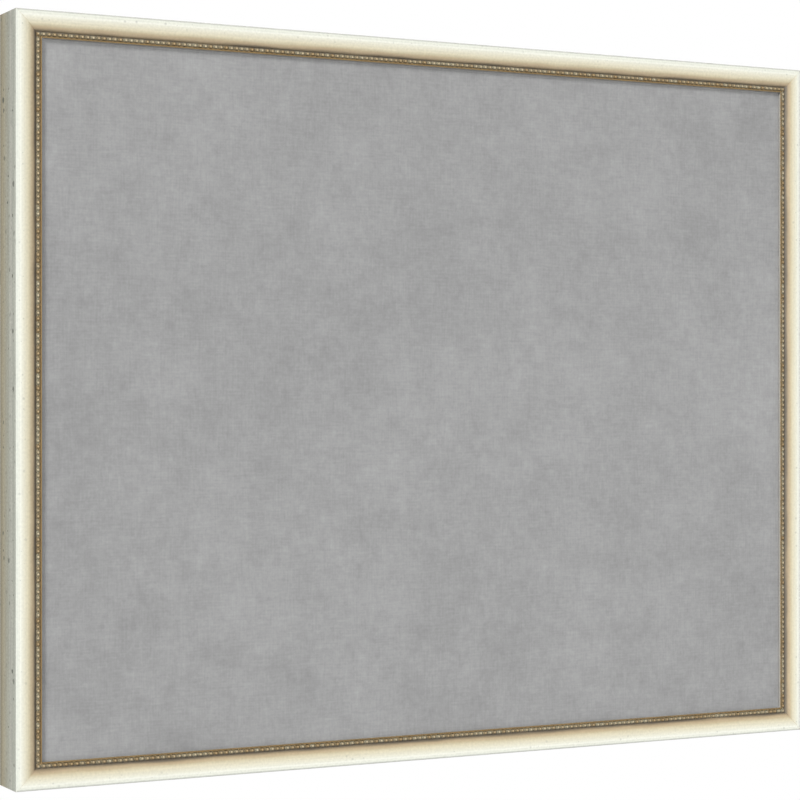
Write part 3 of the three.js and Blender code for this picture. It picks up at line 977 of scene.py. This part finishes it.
def bead_strip(side, index):
    """One strip, with whole beads along the side and a mitred bead at each corner."""
    half = side_sizes(side)[0]
    run = 2 * (half - BEAD_LINE)
    gaps = round(run / BEAD_PITCH)
    pitch = run / gaps
    size = DOME_STEPS + 1
    shape = bmesh.new()
    for station in range((gaps + 1) * BEAD_STATIONS + 1):
        distance = pitch * ((station % BEAD_STATIONS) / BEAD_STATIONS - 0.5)
        along = pitch * (station / BEAD_STATIONS - 0.5) - run / 2
        for across, height in bead_section(bead_swell(distance)):
            shape.verts.new((along, BEAD_FLOOR - height, -BEAD_LINE - across))
    shape.verts.ensure_lookup_table()
    rings = [shape.verts[i:i + size] for i in range(0, len(shape.verts), size)]
    for near, far in zip(rings, rings[1:]):
        for i in range(size):
            shape.faces.new((near[i - 1], near[i], far[i], far[i - 1]))
    saw_mitre(shape, half, -1)
    saw_mitre(shape, half, 1)
    places, faces = points_and_faces(shape)
    turn = side_matrix(side)
    piece = new_piece(f"beads_{side}", [turn @ place for place in places], faces, [bead_gilt_and_painted_highlight],
                      f"bead_strip_{side}")
    chance = random.Random(index)
    tones = [chance.random() for _ in range(gaps + 1)]
    height = piece.data.attributes.new("bead", "FLOAT", "POINT")
    rubbed = piece.data.attributes.new("rubbed", "FLOAT", "POINT")
    for place, high, tone in zip(places, height.data, rubbed.data):
        station = (place.x + run / 2) / pitch
        nearest = min(max(round(station), 0), gaps)
        offset = math.hypot((station - nearest) * pitch, place.z + BEAD_LINE)
        high.value = max(1.0 - offset / BEAD_HALF_LENGTH, 0.0)
        tone.value = tones[nearest]
    add_section_places(piece, side, index)
    piece.data.shade_smooth()
    piece.data.set_sharp_from_angle(angle=BEAD_SHARP_ANGLE)
    return gaps + 1


for index, side in enumerate(SIDES):
    print(side, "beads:", bead_strip(side, index))

# %% [markdown]
# ## Sheet, backing, points and nails
# These pieces are flat or folded metal and board, and the measured model already has their true
# shape. They only need their finish.

# %% Finishes on the measured pieces
FINISH_OF = {"steel_sheet": powder_coat, "backing_board": hardboard}
for name, node in frame["nodes"].items():
    if name.startswith(("framer_point", "v_nail")):
        FINISH_OF[name] = zinc
for name, material in FINISH_OF.items():
    mesh = frame["nodes"][name].data
    mesh.materials.clear()
    mesh.materials.append(material)
print("measured pieces with a finish:", len(FINISH_OF))

# %% [markdown]
# ## Bumpers
# A bumper is a moulded rubber button: a slightly tapered side, a rounded rim and a flat face that
# touches the wall. It is turned round its own axis from a short profile.

# %% Bumpers
RIM = 0.6 * MM
RIM_STEP = 15
DISH = 0.15 * MM
FACE_SHARE = 0.875
DISH_SHARES = (0.45, 0.4)


def turned(profile, centre):
    """A closed round piece about Y through a centre, from (radius, y) points."""
    points = [(centre.x, profile[0][1], centre.z)]
    for radius, y in profile[1:-1]:
        points += [(x, y, z) for x, z in circle(centre, radius)]
    points.append((centre.x, profile[-1][1], centre.z))
    last = len(points) - 1
    rings = len(profile) - 2
    faces = [(0, 1 + i, 1 + (i + 1) % TURN_STEPS) for i in range(TURN_STEPS)]
    for ring in range(rings - 1):
        for i in range(TURN_STEPS):
            near, far = 1 + ring * TURN_STEPS, 1 + (ring + 1) * TURN_STEPS
            j = (i + 1) % TURN_STEPS
            faces.append((near + i, near + j, far + j, far + i))
    top = 1 + (rings - 1) * TURN_STEPS
    faces += [(last, top + i, top + (i + 1) % TURN_STEPS) for i in range(TURN_STEPS)]
    return points, faces


def bumper_profile(low, high):
    """Foot, tapered side, rounded rim, and a face with a shallow dish."""
    radius = (high.x - low.x) / 2
    face = radius * FACE_SHARE
    angles = [math.radians(degrees) for degrees in range(90, -1, -RIM_STEP)]
    rim = [(face - RIM + RIM * math.sin(a), high.y - RIM + RIM * math.cos(a)) for a in angles]
    return [(0.0, low.y), (radius - RIM / 2, low.y), (radius, low.y + RIM / 2), *rim,
            (face * DISH_SHARES[0], high.y), (face * DISH_SHARES[1], high.y - DISH),
            (0.0, high.y - DISH)]


for corner in CORNERS:
    low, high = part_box(f"bumper_{corner}")
    centre = (low + high) / 2
    points, faces = turned(bumper_profile(low, high), centre)
    piece = new_piece(f"rubber_{corner}", points, faces, [rubber], f"bumper_{corner}")
    shade(piece)
print("bumpers:", len(CORNERS))

# %% [markdown]
# ## Hangers
# A hanger is a strap of thin steel rolled round the straight side of a D-ring and held by one
# screw. The strap and the screw stay on the frame. The ring swings in the roll, so it rides on
# its own body, and its mesh is one closed wire with a round bow.

# %% D-rings
WIRE_SIDES = 20
BOW_STEPS = 32
CORNER_STEPS = 6
RING_CORNER = 1.1 * MM


def ring_sizes(hand):
    """Hinge axis, wire radius, half the ring's width and the length of an arm."""
    low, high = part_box(f"d_ring_{hand}")
    hinge = next(joint for joint in frame["joints"] if joint["child"] == f"{hand}_ring")
    axis = Vector(hinge["pos_m"])
    wire = high.z - axis.z
    half = (high.x - low.x) / 2 - wire
    return axis, wire, half, axis.z - low.z - wire - half


def ring_line(half, arm):
    """The ring's centre line in X and Z, clockwise from the bar's right end."""
    corner = []
    for i in range(CORNER_STEPS + 1):
        angle = math.pi / 2 * (1 - i / CORNER_STEPS)
        inwards, down = 1 - math.cos(angle), 1 - math.sin(angle)
        corner.append((half - RING_CORNER * inwards, -RING_CORNER * down))
    angles = [-math.pi * i / BOW_STEPS for i in range(BOW_STEPS + 1)]
    bow = [(half * math.cos(angle), half * math.sin(angle) - arm) for angle in angles]
    return [*corner, *bow, *[(-x, z) for x, z in reversed(corner)]]


def ring(hand):
    """The D-ring as one closed wire."""
    axis, wire, half, arm = ring_sizes(hand)
    line = ring_line(half, arm)
    points, faces = [], []
    for i, (x, z) in enumerate(line):
        before, after = line[i - 1], line[(i + 1) % len(line)]
        outward = Vector((before[1] - after[1], 0, after[0] - before[0])).normalized()
        near, far = i * WIRE_SIDES, (i + 1) % len(line) * WIRE_SIDES
        for k in range(WIRE_SIDES):
            angle = 2 * math.pi * k / WIRE_SIDES
            offset = outward * wire * math.cos(angle) + Vector((0, wire * math.sin(angle), 0))
            points.append(axis + Vector((x, 0, z)) + offset)
            j = (k + 1) % WIRE_SIDES
            faces.append((near + k, near + j, far + j, far + k))
    piece = new_piece(f"ring_{hand}", points, faces, [zinc], f"d_ring_{hand}",
                      body=f"{hand}_ring")
    piece.data.shade_smooth()


for hand in ("left", "right"):
    ring(hand)
print("ring wire, mm:", round(2 * ring_sizes("left")[1] / MM, 2))

# %% [markdown]
# ## Straps
# A real strap is stamped flat, its edges slightly rounded by the tumbling, and then rolled. The
# mesh is made in the same order: a flat outline, thickened, bevelled, cut across where it has to
# bend, and then every point past the bend is wound round the ring's bar.

# %% Straps
STRAP_THICKNESS = 0.8 * MM
STRAP_BEVEL = 0.13 * MM
NECK_HALF = 2.8 * MM
ROLL_TURN = math.radians(296)
ROLL_CUTS = 30
FOOT_STEPS = 24


def flat_strap(half, drop, roll_radius, reach):
    """The stamped outline in X and length: round foot, shoulders, and the narrow end to roll."""
    foot = [(half * math.cos(a), half * math.sin(a) - drop)
            for a in (math.pi * (1 + i / FOOT_STEPS) for i in range(FOOT_STEPS + 1))]
    side = [(half, -roll_radius - half + NECK_HALF), (NECK_HALF, -roll_radius), (NECK_HALF, reach)]
    return [*foot, *side, *[(-x, z) for x, z in reversed(side)]]


def strap(hand):
    """The strap, rolled round the bar, with its screw hole."""
    axis, wire = ring_sizes(hand)[:2]
    low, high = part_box(f"hanger_strap_{hand}")
    screw_low, screw_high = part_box(f"hanger_screw_{hand}")
    screw = (screw_low + screw_high) / 2
    outer = axis.y - low.y
    middle = outer - STRAP_THICKNESS / 2
    half = (high.x - low.x) / 2
    shape = bmesh.new()
    outline = flat_strap(half, axis.z - screw.z, outer, middle * ROLL_TURN)
    front = [shape.verts.new((x, 0, z)) for x, z in outline]
    rear = [shape.verts.new((x, STRAP_THICKNESS, z)) for x, z in outline]
    shape.faces.new(front)
    shape.faces.new(reversed(rear))
    for i in range(len(outline)):
        shape.faces.new((front[i - 1], front[i], rear[i], rear[i - 1]))
    rims = [edge for edge in shape.edges
            if abs(edge.verts[0].co.y - edge.verts[1].co.y) < STRAP_BEVEL]
    bmesh.ops.bevel(shape, geom=rims, offset=STRAP_BEVEL, segments=1, affect="EDGES")
    for i in range(ROLL_CUTS):
        parts = [*shape.verts, *shape.edges, *shape.faces]
        bmesh.ops.bisect_plane(shape, geom=parts, dist=SAW_SNAP, plane_no=(0, 0, 1),
                               plane_co=(0, 0, middle * ROLL_TURN * i / ROLL_CUTS))
    flat, faces = points_and_faces(shape)
    points = []
    for x, y, z in flat:
        turn = max(z, 0.0) / middle
        radius = outer - y
        points.append((axis.x + x, axis.y - radius * math.cos(turn),
                       axis.z + min(z, 0.0) + radius * math.sin(turn)))
    piece = new_piece(f"strap_{hand}", points, faces, [zinc], f"hanger_strap_{hand}")
    hole = prism(circle(screw, HOLE_RADIUS), low.y - OVERRUN, low.y + 2 * OVERRUN)
    cut_away(piece, *hole)
    shade(piece)


for hand in ("left", "right"):
    strap(hand)
print("strap roll, degrees:", round(math.degrees(ROLL_TURN)))

# %% [markdown]
# ## Hanger screws
# A pan head with a cross recess, and a wood thread. The head and the shank are turned from one
# profile. The thread is pressed into the shank's points with a wave that climbs as it goes round,
# and the recess is a tapered cross cut into the head.

# %% Screws
HEAD_HEIGHT = 1.6 * MM
HEAD_RADIUS = 2.7 * MM
SHANK_RADIUS = 1.3 * MM
TIP_LENGTH = 3.0 * MM
THREAD_PITCH = 1.25 * MM
THREAD_DEPTH = 0.36 * MM
THREAD_STEP = 0.16 * MM
THREAD_FLANK = 0.3
RECESS_REACH = 1.55 * MM
RECESS_HALF = 0.33 * MM
RECESS_DEPTH = 1.1 * MM
RECESS_TAPER = 0.5
PAN = [(1.0, 0.0), (1.0, 0.35), (0.97, 0.55), (0.9, 0.74), (0.78, 0.88), (0.6, 0.96), (0.35, 0.99)]


def screw_profile(low, high):
    """Tip, shank and pan head as (radius, y) points."""
    head = high.y - HEAD_HEIGHT
    steps = round((head - low.y) / THREAD_STEP)
    shank = []
    for i in range(1, steps + 1):
        y = low.y + (head - low.y) * i / steps
        shank.append((SHANK_RADIUS * min((y - low.y) / TIP_LENGTH, 1.0), y))
    pan = [(HEAD_RADIUS * r, head + HEAD_HEIGHT * h) for r, h in PAN]
    return [(0.0, low.y), *shank, *pan, (0.0, high.y)]


def threaded(point, centre, head):
    """A point of the shank moved in to the thread's root, by how far it is from the crest."""
    if point[1] > head - THREAD_PITCH / 2:
        return point
    x, z = point[0] - centre.x, point[2] - centre.z
    phase = (point[1] / THREAD_PITCH - math.atan2(z, x) / (2 * math.pi)) % 1.0
    root = min(abs(phase - 0.5) / THREAD_FLANK, 1.0)
    radius = math.hypot(x, z)
    scale = 1.0 - THREAD_DEPTH / SHANK_RADIUS * root if radius > 0 else 1.0
    return centre.x + x * scale, point[1], centre.z + z * scale


def cross(centre, reach, half):
    """A plus-shaped outline in X and Z."""
    quarter = [(reach, -half), (reach, half), (half, half)]
    outline = []
    for turn in range(4):
        for x, z in quarter:
            for _ in range(turn):
                x, z = -z, x
            outline.append((centre.x + x, centre.z + z))
    return outline


for hand in ("left", "right"):
    low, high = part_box(f"hanger_screw_{hand}")
    centre = (low + high) / 2
    points, faces = turned(screw_profile(low, high), centre)
    points = [threaded(point, centre, high.y - HEAD_HEIGHT) for point in points]
    piece = new_piece(f"screw_{hand}", points, faces, [zinc], f"hanger_screw_{hand}")
    recess = cross(centre, RECESS_REACH, RECESS_HALF)
    cut_away(piece, *prism(recess, high.y - RECESS_DEPTH, high.y + OVERRUN, taper=RECESS_TAPER))
    shade(piece)
    print(piece.name, len(piece.data.vertices), "points")

# %% [markdown]
# ## Light
# The board is lit as in a plain studio: a key from the upper left, a wide white board that
# bounces light back from the lower right, a soft fill in front, and a soft lamp behind for the
# other views. The key makes the narrow shadow that the lip throws on the sheet along its top and
# left edges; the bounce keeps all four sides of the moulding at one tone. Area lamps would do as
# well, but their strength falls off with distance, and suns light the whole board at one level.

# %% Lights
# each sun: where it shines from, its share of full light on a face square to Y, and its width
SUNS = {
    "key": (Vector((-1.4, -1.0, 1.1)), 0.44, math.radians(20)),
    "bounce": (Vector((1.8, -1.0, -1.8)), 0.14, math.radians(90)),
    "fill": (Vector((-0.15, -1.0, 0.15)), 0.3, math.radians(20)),
    "back": (Vector((0.7, 1.0, 0.5)), 0.4, math.radians(60)),
}

for name, (source, share, angle) in SUNS.items():
    data = bpy.data.lights.new(name, "SUN")
    data.energy = share * math.pi / abs(source.normalized().y)
    data.angle = angle
    lamp = bpy.data.objects.new(name, data)
    lamp.rotation_euler = source.to_track_quat("Z", "Y").to_euler()
    bpy.context.scene.collection.objects.link(lamp)
print("suns:", ", ".join(SUNS))

# %% [markdown]
# ## White surroundings
# The background is pure white, but a room as white as that would drown the board in light. So the
# world is white only for what the camera sees, by itself or mirrored in shiny metal. The light that
# falls on the board comes from a dim, even dome instead, which softens the shadows of the suns.

# %% Surroundings
DOME = 0.12


def seen_rays(tree):
    """1 for what the camera sees, by itself or in metal or glass, and 0 for light on a face."""
    path = add_node(tree, "ShaderNodeLightPath")
    seen = add_node(tree, "ShaderNodeMath", {"operation": "MAXIMUM"}, {
        0: path.outputs["Is Camera Ray"], 1: path.outputs["Is Glossy Ray"],
    })
    shown = add_node(tree, "ShaderNodeMath", {"operation": "MAXIMUM"}, {
        0: seen.outputs[0], 1: path.outputs["Is Transmission Ray"],
    })
    return shown.outputs[0]


world = bpy.data.worlds.new("studio")
bpy.context.scene.world = world
world.use_nodes = True
tree = world.node_tree
tree.nodes.clear()
shown = seen_rays(tree)
dome = add_node(tree, "ShaderNodeBackground", {"Strength": DOME, "Color": PLAIN_WHITE})
white = add_node(tree, "ShaderNodeBackground", {"Strength": 1.0, "Color": PLAIN_WHITE})
mix = add_node(tree, "ShaderNodeMixShader", links={
    0: shown, 1: dome.outputs[0], 2: white.outputs[0],
})
add_node(tree, "ShaderNodeOutputWorld", links={"Surface": mix.outputs[0]})
front = [share for name, (_, share, _) in SUNS.items() if name != "back"]
print("light square to the sheet:", round(sum(front) + DOME, 2))

# %% [markdown]
# ## Floor
# The board hangs well above a pale floor, as on a wall, so that its shadow stays out of the front
# view. A floor lit by these lamps alone would be grey against the white background. What the camera
# sees of it is lifted to the same white, so that they join without an edge, and the shadow on it
# still shows.

# %% Floor
FLOOR_DROP = 1.4
FLOOR_HALF = 3.0
FLOOR_LIFT = 0.21
SQUARE = ((-1, -1), (1, -1), (1, 1), (-1, 1))

floor_paint, tree, shader = new_material("pale_floor", {"Roughness": 0.9, "IOR": 1.5})
shader.inputs["Base Color"].default_value = linear("#f6f6f5")
shader.inputs["Emission Color"].default_value = PLAIN_WHITE
lift = add_node(tree, "ShaderNodeMath", {"operation": "MULTIPLY", 1: FLOOR_LIFT}, {
    0: seen_rays(tree),
})
tree.links.new(lift.outputs[0], shader.inputs["Emission Strength"])
floor_mesh = bpy.data.meshes.new("floor")
floor_mesh.from_pydata(
    [(x * FLOOR_HALF, y * FLOOR_HALF, -FLOOR_DROP) for x, y in SQUARE], [], [(0, 1, 2, 3)],
)
floor_mesh.materials.append(floor_paint)
floor = bpy.data.objects.new("floor", floor_mesh)
bpy.context.scene.collection.objects.link(floor)
floor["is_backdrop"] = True
print("floor, metres below the board's middle:", FLOOR_DROP)

# %% [markdown]
# ## Sizes, and the end
# The dressed board should fill the same box as the measured one. The dressed board's box is
# printed.

# %% Finish
low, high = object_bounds()
print("dressed model, metres:", [round(v, 4) for v in high - low])
